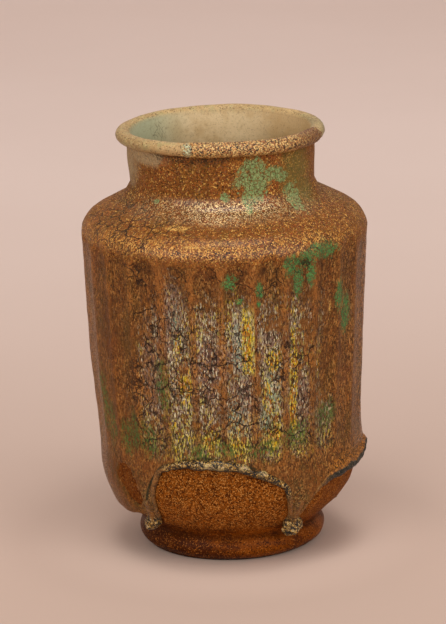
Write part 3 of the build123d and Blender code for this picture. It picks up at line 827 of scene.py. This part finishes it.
# Runs: turn at the hem and at the drop in degrees, then in millimetres the drop's distance from the axis,
# height and radius, and the run's radius above and below
RUNS = (
    (-40.0, -47.0, 51.5, 18.6, 3.5, 3.4, 3.1),
    (32.0, 33.0, 51.3, 17.2, 4.0, 3.6, 3.4),
    (103.6, 103.0, 50.8, 17.4, 3.8, 3.0, 2.9),
    (175.6, 175.0, 50.8, 17.4, 3.7, 3.0, 2.9),
    (247.6, 247.0, 50.8, 17.4, 3.8, 3.0, 2.9),
)
# Lobes on a drop: turn in degrees and height in millimetres from its centre, and share of its radius
LOBES = ((0.0, 0.0, 1.0), (3.6, 1.2, 0.75), (-1.6, -1.4, 0.72))


def keyed(keys, turn):
    """Smooth value in metres at a turn, through a closed row of keys in degrees and millimetres."""
    keys = np.array(keys, float)
    slopes = np.gradient(keys[:, 1], keys[:, 0])
    start = keys[0, 0]
    places = (np.degrees(turn) - start) % 360 + start
    after = np.clip(np.searchsorted(keys[:, 0], places), 1, len(keys) - 1)
    low, high = keys[after - 1], keys[after]
    span = high[:, 0] - low[:, 0]
    t = (places - low[:, 0]) / span
    bend = (
        (2 * t**3 - 3 * t**2 + 1) * low[:, 1]
        + (t**3 - 2 * t**2 + t) * span * slopes[after - 1]
        + (3 * t**2 - 2 * t**3) * high[:, 1]
        + (t**3 - t**2) * span * slopes[after]
    )
    return bend * MM


def hem_height(turn):
    """Height of the glaze's lower edge at a turn."""
    return keyed(HEM_KEYS, turn - math.radians(0.6)) + 0.0005 * np.sin(23 * turn) * np.sin(9 * turn + 1)


def hem_swell(turn):
    """Extra thickness of the glaze at its lower edge."""
    degrees = (np.degrees(turn) + 180) % 360 - 180
    right = np.clip((degrees - 36) / 16, 0, 1) * np.clip((100 - degrees) / 8, 0, 1)
    left = np.clip((-48 - degrees) / 8, 0, 1) * np.clip((degrees + 112) / 8, 0, 1)
    return 0.0012 + 0.0020 * right + 0.0014 * left


def worn_patch(turn, height):
    """1 in the slanting patch on the left where the glaze is worn through, falling to 0 outside it."""
    aside, up = (np.degrees(turn) + 52.5) * 1.06, height * 1000 - 38.0
    down, across = aside * 0.46 - up * 0.89, aside * 0.89 + up * 0.46
    frayed = 0.25 * np.sin(55 * turn + 2) * np.sin(800 * height)
    return np.clip(2.5 * (1.15 - (down / 10.5) ** 4 - (across / 6.2) ** 2 + frayed), 0, 1)


def lip_stray(turns, height, sizes):
    """How far the lip and the flare below it stray from a true ring, out of it and up."""
    wave = 0.00025 * np.sin(2 * turns + 2.0) + 0.0001 * np.sin(7 * turns)
    wave = wave + 0.00004 * np.sin(17 * turns + 1.0)
    wave = wave * np.clip((height - sizes.lip_reach) / 0.003, 0, 1)
    return wander(turns, np.minimum(height, STRAY_TOP)) + wave * 0.8, wave


def lip_ring(sizes, angles, grow):
    """Radius and height of the lip's oval section at angles round it, grown by a thickness."""
    radius = sizes.lip_radius + (sizes.lip_wide + grow) * np.cos(angles)
    return radius, sizes.lip_height + (sizes.lip_tall + grow) * np.sin(angles)


def all_round(count, start=0.0):
    """Turns spread evenly all round from a start."""
    return np.linspace(start, start + FULL_TURN, count, endpoint=False)


def around(radius, turn, height):
    """Points at a radius, a turn from the front and a height."""
    return np.stack([radius * np.sin(turn), -radius * np.cos(turn), height * np.ones_like(turn)], axis=-1)


def linked(name, data):
    """Object of some data, put in the scene."""
    made = bpy.data.objects.new(name, data)
    bpy.context.scene.collection.objects.link(made)
    return made


def plain_mesh(name, points, faces):
    """Object of a smooth mesh."""
    mesh = bpy.data.meshes.new(name)
    mesh.from_pydata(points.tolist(), [], faces)
    mesh.polygons.foreach_set("use_smooth", np.ones(len(faces), bool))
    mesh.update()
    return linked(name, mesh)


def ring_mesh(name, radius, height, turns, ends=False):
    """Mesh of closed sections, a column of radius and height for each turn, in a ring or capped at ends."""
    grid = np.arange(radius.size).reshape(radius.shape)
    right = np.roll(grid, -1, axis=1)
    faces = np.stack([grid, right, np.roll(right, -1, axis=0), np.roll(grid, -1, axis=0)], axis=-1)
    caps = [grid[:, 0].tolist(), grid[::-1, -1].tolist()] if ends else []
    faces = (faces[:, :-1] if ends else faces).reshape(-1, 4).tolist() + caps
    return plain_mesh(name, around(radius, turns + 0 * radius, height).reshape(-1, 3), faces)


def guide_curve(name, paths, closed):
    """Curve object of points with a radius each, as a path for a geometry tree."""
    data = bpy.data.curves.new(name, "CURVE")
    data.dimensions = "3D"
    for points, radii in paths:
        spline = data.splines.new("POLY")
        spline.points.add(len(points) - 1)
        weighted = np.column_stack([points, np.ones(len(points))])
        spline.points.foreach_set("co", weighted.astype(np.float32).ravel())
        spline.points.foreach_set("radius", np.asarray(radii, np.float32))
        spline.use_cyclic_u = closed
    return linked(name, data)


def settle(piece, material, slot, *nodes):
    """Merges points that meet, turns faces outwards, gives a piece its finish and body, and hides the given
    CAD nodes.
    """
    worked = bmesh.new()
    worked.from_mesh(piece.data)
    bmesh.ops.remove_doubles(worked, verts=worked.verts, dist=1e-7)
    bmesh.ops.recalc_face_normals(worked, faces=worked.faces)
    worked.to_mesh(piece.data)
    worked.free()
    piece.data.materials.clear()
    piece.data.materials.append(material)
    piece.data.set_sharp_from_angle(angle=math.radians(60))
    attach(piece, "root")
    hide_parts(*nodes)


def shaped(piece, tree, values):
    """Runs a geometry tree on an object and keeps the result as a plain mesh."""
    modifier = piece.modifiers.new(tree.name, "NODES")
    modifier.node_group = tree
    for item in tree.interface.items_tree:
        if item.in_out == "INPUT" and item.name in values:
            modifier[item.identifier] = values[item.name]
    drawn = bpy.context.evaluated_depsgraph_get()
    worked = piece.evaluated_get(drawn)
    mesh = bpy.data.meshes.new_from_object(worked, preserve_all_data_layers=True, depsgraph=drawn)
    name = piece.name
    bpy.data.objects.remove(piece)
    mesh.name = name
    return linked(name, mesh)


class Shape(Graph):
    """A geometry tree with named inputs, ending in Realize Instances and Set Material."""

    def __init__(self, name, **inputs):
        tree = bpy.data.node_groups.new(name, "GeometryNodeTree")
        tree.is_modifier = True
        inputs = {"Geometry": "Geometry", **inputs, "Lumps": "Float", "Finish": "Material"}
        for label, kind in inputs.items():
            tree.interface.new_socket(label, in_out="INPUT", socket_type="NodeSocket" + kind)
        tree.interface.new_socket("Geometry", in_out="OUTPUT", socket_type="NodeSocketGeometry")
        super().__init__(tree)
        entry = self.node("NodeGroupInput").socket.node
        self.given = {socket.name: Wire(self, socket) for socket in entry.outputs}
        self.place = self.node("GeometryNodeInputPosition")

    def pushed(self, geometry, way, reach):
        """Moves points along a way by a reach."""
        fed = {"Geometry": geometry, "Offset": self.scaled(way, reach)}
        return self.node("GeometryNodeSetPosition", None, fed)

    def lumpy(self, geometry, scale, detail):
        """Smooth shading, and lumps as high as the input Lumps."""
        smooth = self.node("GeometryNodeSetShadeSmooth", None, {"Geometry": geometry})
        lump = self.noise(self.place, scale, detail, 0.6) - 0.5
        return self.pushed(smooth, self.node("GeometryNodeInputNormal"), lump * self.given["Lumps"])

    def end(self, geometry):
        real = self.node("GeometryNodeRealizeInstances", None, {0: geometry})
        fed = {"Geometry": real, "Material": self.given["Finish"]}
        self.node("NodeGroupOutput", None, {0: self.node("GeometryNodeSetMaterial", None, fed)})
        return self.tree


def flute_press():
    """Tree that presses upright flutes in a round wall and keeps where they are as an attribute."""
    s = Shape("press_flutes", Count="Int", Depth="Float", Top="Float", Bottom="Float", Turn="Float")
    x, y, z = s.parts(s.place)
    turn = s.maths("ARCTAN2", x, -y)
    lean = (1 - s.maths("COSINE", turn)) * s.maths("SINE", turn * 3 + 1) * 0.03
    nudge = s.maths("EXPONENT", s.maths("POWER", (turn + 0.36) / 0.24, 2) * -1) * 0.045
    cell = (turn + lean - nudge - s.given["Turn"]) * s.given["Count"] / FULL_TURN
    own = s.node("ShaderNodeTexWhiteNoise", {"noise_dimensions": "1D"}, {"W": s.maths("FLOOR", cell)})
    across = abs(s.maths("FRACT", cell) * 2 - 1)
    top = s.given["Top"] + (own - 0.5) * 0.006
    arch = s.clamp((z - top + ARCH_HEIGHT) / ARCH_HEIGHT)
    width = s.maths("SQRT", s.maths("MAXIMUM", 1 - arch * arch, 0.0001))
    reach = s.maths("POWER", s.maths("MINIMUM", across / width, 1), 1.6)
    scoop = (s.maths("COSINE", reach * math.pi) * 0.5 + 0.5) * s.ease(width, 0, 0.7)
    scoop = scoop * s.ease(z, s.given["Bottom"] - FLUTE_FADE, s.given["Bottom"] + FLUTE_FADE)
    lump = s.noise(s.place, 130, 4, 0.55) - 0.5
    radial = s.vector("NORMALIZE", s.join(x, y, 0))
    push = s.given["Lumps"] * lump - s.given["Depth"] * scoop * (0.75 + own * 0.5)
    moved = s.pushed(s.given["Geometry"], radial, push)
    kept = {"Geometry": moved, "Name": "flute", "Value": scoop}
    return s.end(s.node("GeometryNodeStoreNamedAttribute", {"data_type": "FLOAT", "domain": "POINT"}, kept))


def glaze_roll():
    """Tree that rolls thick glaze along a curve, lumpy and as thick as the curve's radius."""
    s = Shape("roll_glaze", Sides="Int")
    circle = {"Resolution": s.given["Sides"], "Radius": 1}
    ring = s.node("GeometryNodeCurvePrimitiveCircle", {"mode": "RADIUS"}, circle)
    thick = s.node("GeometryNodeInputRadius")
    roll = {"Curve": s.given["Geometry"], "Profile Curve": ring, "Scale": thick, "Fill Caps": True}
    return s.end(s.lumpy(s.node("GeometryNodeCurveToMesh", None, roll), 420, 3))


def hanging_drops():
    """Tree that hangs a lumpy drop of its own size at each point."""
    s = Shape("hang_drops", Tall="Float")
    ball = s.node("GeometryNodeMeshIcoSphere", None, {"Radius": 1, "Subdivisions": 5})
    long = s.node("GeometryNodeTransform", None, {"Geometry": ball, "Scale": s.join(1, 1, s.given["Tall"])})
    size = s.node("GeometryNodeInputNamedAttribute", {"data_type": "FLOAT"}, {"Name": "size"})
    hung = {"Points": s.given["Geometry"], "Instance": long, "Scale": size}
    drops = s.node("GeometryNodeInstanceOnPoints", None, hung)
    return s.end(s.lumpy(s.node("GeometryNodeRealizeInstances", None, {0: drops}), 300, 3))


class JAR_OT_foot(Operator):
    """Build the ring foot"""

    bl_idname = "jar.foot"
    bl_label = "Ring foot"

    def execute(self, context):
        sizes, colours = context.scene.jar_sizes, context.scene.jar_colours
        turns = all_round(240)
        top, middle = sizes.foot_height + 0.0008, sizes.foot_height * 0.5
        rise = np.linspace(0, top, 30)
        swell = 1 - np.clip(1 - rise / middle, 0, 1) ** 2
        draw_in = np.clip((rise - middle) / (top - middle), 0, 1) ** 1.9
        side = sizes.foot_contact + (sizes.foot_bulge - sizes.foot_contact) * swell
        side = side - (sizes.foot_bulge - sizes.groove_radius + 0.0012) * draw_in
        bore = sizes.foot_bore
        under = [bore + 0.0008, bore + 0.004, sizes.foot_contact - 0.001]
        radius = np.concatenate([under, side, [bore + 0.002, bore]])
        height = np.concatenate([[0.0006, 0.0, 0.0], rise, [sizes.foot_height, sizes.foot_height - 0.0005]])
        radius, height = radius[:, None], height[:, None]
        stray = wander(turns, height) * (height > 0.001)
        stray = stray + 0.0002 * np.sin(11 * turns + 300 * height) * (height > 0.002)
        piece = ring_mesh("foot_ring_dressed", radius + stray, height, turns)
        settle(piece, finish(bare_paste, colours), "stonepaste", "foot_ring", "foot_slip")
        return {"FINISHED"}


class JAR_OT_bowl(Operator):
    """Build the bare bowl with the jar's floor"""

    bl_idname = "jar.bowl"
    bl_label = "Bare bowl"

    def execute(self, context):
        sizes, colours = context.scene.jar_sizes, context.scene.jar_colours
        line = Line(sizes)
        turns = all_round(480)
        along = np.linspace(0, line.at_height(BOWL_TOP), 96)
        tuck = np.clip((along - line.at_height(TUCK_FOOT)) / 0.008, 0, 1)
        outer_radius, outer_height = line.at(along, -0.0014 * tuck)
        inner_radius, inner_height = line.at(along[::-6], -sizes.wall + 0.0004)
        keep = inner_height > sizes.floor_height
        inner_radius, inner_height = inner_radius[keep], inner_height[keep]
        base, floor = sizes.base_height, sizes.floor_height
        within = [inner_radius[-1] - 0.002, 0.0]
        radius = np.concatenate([[0.0, 0.02, 0.0405], outer_radius, inner_radius, within])
        height = np.concatenate([[base] * 3, outer_height, inner_height, [floor, floor]])
        radius, height = radius[:, None], height[:, None]
        hammered = 0.00025 * np.sin(17 * turns + 260 * height) * np.sin(9 * turns - 410 * height)
        stray = (wander(turns, height) + hammered) * np.clip(radius / 0.04, 0, 1)
        piece = ring_mesh("bare_bowl", radius + stray, height, turns)
        settle(piece, finish(bare_paste, colours), "stonepaste", "lower_body", "wall_slip")
        return {"FINISHED"}


class JAR_OT_sections(Operator):
    """Build the sections and slip rings of paste under the glaze"""

    bl_idname = "jar.sections"
    bl_label = "Hidden sections"

    def execute(self, context):
        sizes = context.scene.jar_sizes
        line = Line(sizes)
        turns = all_round(96)
        for node in ("fluted_wall", "shoulder_slip", "shoulder", "neck_slip", "neck", "rim_slip"):
            slip = "slip" in node
            low, high = max(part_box(node)[0].z, CORE_FOOT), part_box(node)[1].z
            along = np.linspace(line.at_height(low), line.at_height(high), 3 if slip else 14)
            on_neck = low > NECK_FOOT
            depth, reach = (0.0006, 0.0022) if on_neck else (sizes.flute_depth * 2, sizes.wall - 0.0004)
            outer = line.at(along, -depth)
            inner = line.at(along[::-1], -reach)
            radius = np.concatenate([outer[0], inner[0]])[:, None]
            height = np.concatenate([outer[1], inner[1]])[:, None]
            piece = ring_mesh(node + "_core", radius + wander(turns, height), height, turns)
            settle(piece, finish(hidden_paste), "slip" if slip else "stonepaste", node)
        return {"FINISHED"}


class JAR_OT_lining(Operator):
    """Build the glaze lining inside the jar"""

    bl_idname = "jar.lining"
    bl_label = "Glaze lining"

    def execute(self, context):
        sizes, colours = context.scene.jar_sizes, context.scene.jar_colours
        line = Line(sizes)
        turns = all_round(192)
        along = np.linspace(line.at_height(0.0150), line.at_height(sizes.lip_reach), 110)
        neck = np.clip((line.height_at(along) - 0.162) / 0.010, 0, 1)
        thick = sizes.wall + (sizes.neck_wall - sizes.wall) * neck
        face = line.at(along, -thick - sizes.glaze)
        back = line.at(along, -thick + 0.0002)
        floor = sizes.floor_height + sizes.glaze
        shown, behind = face[1] > floor, back[1][::-1] > floor - 0.0004
        share = np.linspace(0, 1, 18)[1:]
        mouth, lean = face[0][-1], math.radians(14.6)
        edge = sizes.lip_radius - sizes.lip_wide * math.cos(lean) + 0.00003
        top = sizes.lip_height + sizes.lip_tall * math.sin(lean)
        flare_radius = np.append(mouth + (edge - mouth) * share**2, [edge + 0.0014, edge + 0.0012])
        flare_height = sizes.lip_reach + (top - sizes.lip_reach) * share
        flare_height = np.append(flare_height, [top + 0.0003, top - 0.0040])
        behind_radius, behind_height = back[0][::-1][behind], back[1][::-1][behind]
        radius = np.concatenate([[0.0], face[0][shown], flare_radius, behind_radius, [0.0]])
        height = np.concatenate([[floor], face[1][shown], flare_height, behind_height, [floor - 0.0006]])
        radius, height = radius[:, None], height[:, None]
        stray, lift = lip_stray(turns, height, sizes)
        piece = ring_mesh("inner_lining", radius + stray * (radius > 0.01), height + lift, turns)
        settle(piece, finish(pale_glaze, colours), "inner_glaze", "inner_glaze")
        return {"FINISHED"}


class JAR_OT_coat(Operator):
    """Build the glaze coat with its flutes and scalloped edge"""

    bl_idname = "jar.coat"
    bl_label = "Fluted glaze coat"

    def execute(self, context):
        sizes, colours = context.scene.jar_sizes, context.scene.jar_colours
        line = Line(sizes)
        turns = all_round(576, -math.pi)
        hem = hem_height(turns)
        start = line.at_height(hem)
        along = start + (line.along[-1] - start) * np.linspace(0, 1, 152)[:, None]
        above = line.height_at(along) - hem
        worn = worn_patch(turns, line.height_at(along)) * 0.0024
        outer = line.at(along, sizes.glaze + hem_swell(turns) * np.exp(-above / 0.0075) - worn)
        inner = line.at(along[::-1][::8], -0.0003 - worn[::-1][::8])
        radius = np.concatenate([outer[0], inner[0]])
        height = np.concatenate([outer[1], inner[1]])
        piece = ring_mesh("glaze_coat", radius + wander(turns, height), height, turns)
        finished = finish(weathered_glaze, colours)
        values = {"Count": sizes.flute_count, "Depth": sizes.flute_depth, "Turn": sizes.flute_turn}
        values |= {"Top": sizes.flute_top, "Bottom": sizes.flute_bottom}
        values |= {"Lumps": 0.0007, "Finish": finished}
        settle(shaped(piece, flute_press(), values), finished, "outer_glaze", "outer_glaze")
        return {"FINISHED"}


class JAR_OT_hem(Operator):
    """Build the thick roll along the lower edge of the glaze"""

    bl_idname = "jar.hem"
    bl_label = "Hem roll"

    def execute(self, context):
        sizes = context.scene.jar_sizes
        line = Line(sizes)
        turns = all_round(1000, -math.pi)
        beads = 1 + 0.12 * np.sin(31 * turns) * np.sin(7 * turns) + 0.07 * np.sin(53 * turns + 2)
        thick = keyed(ROLL_KEYS, turns) * beads
        along = line.at_height(hem_height(turns) + thick * 0.4)
        radius, height = line.at(along, sizes.glaze - thick * 0.15 + hem_swell(turns) * 0.5)
        path = around(radius + wander(turns, height), turns, height)
        guide = guide_curve("hem_roll", [(path, thick)], True)
        finished = finish(glassy_glaze)
        piece = shaped(guide, glaze_roll(), {"Sides": 18, "Lumps": 0.0010, "Finish": finished})
        settle(piece, finished, "thick_glaze", "glaze_hem")
        return {"FINISHED"}


class JAR_OT_runs(Operator):
    """Build the runs of glaze below the hem and the drops that hang from them"""

    bl_idname = "jar.runs"
    bl_label = "Runs and drops"

    def execute(self, context):
        sizes = context.scene.jar_sizes
        line = Line(sizes)
        finished = finish(glassy_glaze)
        share = np.linspace(0, 1, 48)
        paths, points, radii = [], [], []
        for at_hem, at_drop, reach, low, thickness, above, below in RUNS:
            top = hem_height(np.radians([at_hem]))[0] + 0.012
            height = top + (low * MM - top) * share
            turn = np.radians(at_hem + (at_drop - at_hem) * share)
            on_bowl = line.at(line.at_height(height), -0.0012)[0] + wander(turn, height)
            radius = on_bowl + (reach * MM - on_bowl) * share**2.2
            thick = MM * (above + (below - above) * share) * np.clip(0.25 + share * 4, 0, 1)
            paths.append((around(radius, turn, height), thick))
            for aside, up, share_of in LOBES:
                points.append(around(reach * MM, np.radians([at_drop + aside]), (low + up) * MM)[0])
                radii.append(thickness * share_of * MM)
        guide = guide_curve("glaze_runs", paths, False)
        runs = shaped(guide, glaze_roll(), {"Sides": 20, "Lumps": 0.0013, "Finish": finished})
        settle(runs, finished, "thick_glaze", *[f"glaze_run_{i + 1}" for i in range(len(RUNS))])
        places = plain_mesh("glaze_drops", np.array(points), [])
        size = places.data.attributes.new("size", "FLOAT", "POINT")
        size.data.foreach_set("value", radii)
        drops = shaped(places, hanging_drops(), {"Tall": 1.05, "Lumps": 0.0030, "Finish": finished})
        settle(drops, finished, "thick_glaze", *[f"glaze_drop_{i + 1}" for i in range(len(RUNS))])
        return {"FINISHED"}


class JAR_OT_lip(Operator):
    """Build the round lip under its worn glaze"""

    bl_idname = "jar.lip"
    bl_label = "Lip"

    def execute(self, context):
        sizes, colours = context.scene.jar_sizes, context.scene.jar_colours
        turns = all_round(480, -math.pi)
        angles = np.radians(np.linspace(0, 360, 84, endpoint=False))
        radius, height = lip_ring(sizes, angles[:, None], 0.0)
        stray, lift = lip_stray(turns, height, sizes)
        lumps = 0.00010 * np.sin(37 * turns + 900 * height) * np.sin(23 * turns - 700 * height)
        piece = ring_mesh("lip", radius + stray + lumps * (radius > sizes.lip_radius), height + lift, turns)
        settle(piece, finish(pale_glaze, colours), "rim_glaze", "rim_roll", "rim_glaze")
        return {"FINISHED"}


class JAR_OT_crust(Operator):
    """Build the ragged crust on the front of the lip"""

    bl_idname = "jar.crust"
    bl_label = "Lip crust"

    def execute(self, context):
        sizes, colours = context.scene.jar_sizes, context.scene.jar_colours
        degrees = np.linspace(-27, 78, 320)
        turns = np.radians(degrees)
        angles = np.radians(np.linspace(-100, 165, 72))[:, None]
        ends = np.minimum(degrees + 21, 72 - degrees) / 7
        sides = np.minimum(np.degrees(angles) + 84, 150 - np.degrees(angles)) / 22
        ragged = 0.5 * np.sin(61 * turns) * np.sin(5 * angles + 20 * turns)
        ragged = ragged + 0.3 * np.sin(143 * turns + 9 * angles)
        pits = 0.3 * np.sin(97 * turns + 13 * angles) * np.sin(71 * turns - 17 * angles)
        grow = (np.clip(np.minimum(ends, sides) + ragged, -1.2, 1.0) + pits) * sizes.crust
        skin, core = lip_ring(sizes, angles, grow), lip_ring(sizes, angles[::-1], -0.0012 + 0 * turns)
        stray, lift = lip_stray(turns, 0.2, sizes)
        radius = np.concatenate([skin[0], core[0]]) + stray
        height = np.concatenate([skin[1], core[1]]) + lift
        piece = ring_mesh("lip_crust_skin", radius, height, turns, ends=True)
        settle(piece, finish(lip_crust, colours), "crust", "rim_crust")
        return {"FINISHED"}


# Lamps: name, place, what each points at, width and height in metres, and watts
LAMPS = (
    ("overhead", (0.06, -0.28, 1.5), (0, 0, 0.1), (0.9, 0.9), 12.5),
    ("front_fill", (0.0, -2.6, 1.2), (0, 0, 0.1), (2.0, 1.4), 15.0),
    ("left_fill", (-1.7, -1.7, 1.0), (0, 0, 0.1), (1.6, 1.4), 17.0),
    ("right_fill", (1.7, -1.7, 1.0), (0, 0, 0.1), (1.6, 1.4), 18.5),
    ("backdrop_wash", (0.0, 1.4, 1.5), (0, 1.5, 0), (2.4, 0.8), 5.0),
)


class JAR_OT_stage(Operator):
    """Set the backdrop, light and camera"""

    bl_idname = "jar.stage"
    bl_label = "Stage"

    def execute(self, context):
        scene = context.scene
        bend = np.linspace(0, math.pi / 2, 24)
        run = [(-3.0, 0.0), *zip(1.5 + 0.8 * np.sin(bend), 0.8 - 0.8 * np.cos(bend)), (2.3, 4.0)]
        points = np.array([(x, y, z) for y, z in run for x in (-4.0, 4.0)])
        faces = [(2 * i, 2 * i + 1, 2 * i + 3, 2 * i + 2) for i in range(len(run) - 1)]
        sweep = plain_mesh("backdrop", points, faces)
        sweep.data.materials.append(backdrop_paper(scene.jar_colours))

        for name, place, aim, size, power in LAMPS:
            data = bpy.data.lights.new(name, "AREA")
            data.shape = "RECTANGLE"
            data.size, data.size_y = size
            data.energy = power
            data.color = (1.0, 0.99, 0.975)
            lamp = linked(name, data)
            lamp.location = place
            lamp.rotation_euler = (Vector(aim) - Vector(place)).to_track_quat("-Z", "Y").to_euler()
        scene.world = bpy.data.worlds.new("room")
        scene.world.use_nodes = True
        room = scene.world.node_tree.nodes["Background"].inputs
        room[0].default_value = (0.80, 0.73, 0.69, 1.0)
        room[1].default_value = 0.38

        pitch, roll, distance = math.radians(15.23), math.radians(1.65), 1.598
        place = Vector((0.0, -distance * math.cos(pitch), 0.1 + distance * math.sin(pitch)))
        aim = Vector((-0.00121, 0.00282, 0.11024))
        back = (place - aim).normalized()
        right = Vector((0, 0, 1)).cross(back).normalized()
        up = back.cross(right)
        tilted = right * math.cos(roll) - up * math.sin(roll)
        upright = right * math.sin(roll) + up * math.cos(roll)
        data = bpy.data.cameras.new("camera")
        data.sensor_width = 36.0
        data.lens = 193.4
        data.clip_start, data.clip_end = 0.05, 50.0
        scene.camera = linked("camera", data)
        turned = [(tilted[i], upright[i], back[i], place[i]) for i in range(3)]
        scene.camera.matrix_world = Matrix([*turned, (0, 0, 0, 1)])
        scene.view_settings.view_transform = "Standard"
        return {"FINISHED"}


BUILD_ORDER = (
    JAR_OT_foot,
    JAR_OT_bowl,
    JAR_OT_sections,
    JAR_OT_lining,
    JAR_OT_coat,
    JAR_OT_hem,
    JAR_OT_runs,
    JAR_OT_lip,
    JAR_OT_crust,
    JAR_OT_stage,
)


class JAR_PT_pieces(Panel):
    """Lists the jar's pieces with their sizes and colours"""

    bl_idname = "JAR_PT_pieces"
    bl_label = "Fluted Glazed Jar"
    bl_space_type = "VIEW_3D"
    bl_region_type = "UI"
    bl_category = "Jar"

    def draw(self, context):
        for operator in BUILD_ORDER:
            self.layout.operator(operator.bl_idname)
        for group in (context.scene.jar_sizes, context.scene.jar_colours):
            box = self.layout.box()
            for name in group.__annotations__:
                box.prop(group, name)


CLASSES = (JarSizes, JarColours, *BUILD_ORDER, JAR_PT_pieces)


def register():
    for cls in CLASSES:
        bpy.utils.register_class(cls)
    bpy.types.Scene.jar_sizes = PointerProperty(type=JarSizes)
    bpy.types.Scene.jar_colours = PointerProperty(type=JarColours)


def unregister():
    del bpy.types.Scene.jar_colours
    del bpy.types.Scene.jar_sizes
    for cls in reversed(CLASSES):
        bpy.utils.unregister_class(cls)


def main():
    register()
    for operator in BUILD_ORDER:
        group, name = operator.bl_idname.split(".")
        getattr(getattr(bpy.ops, group), name)()


if __name__ == "__main__":
    main()
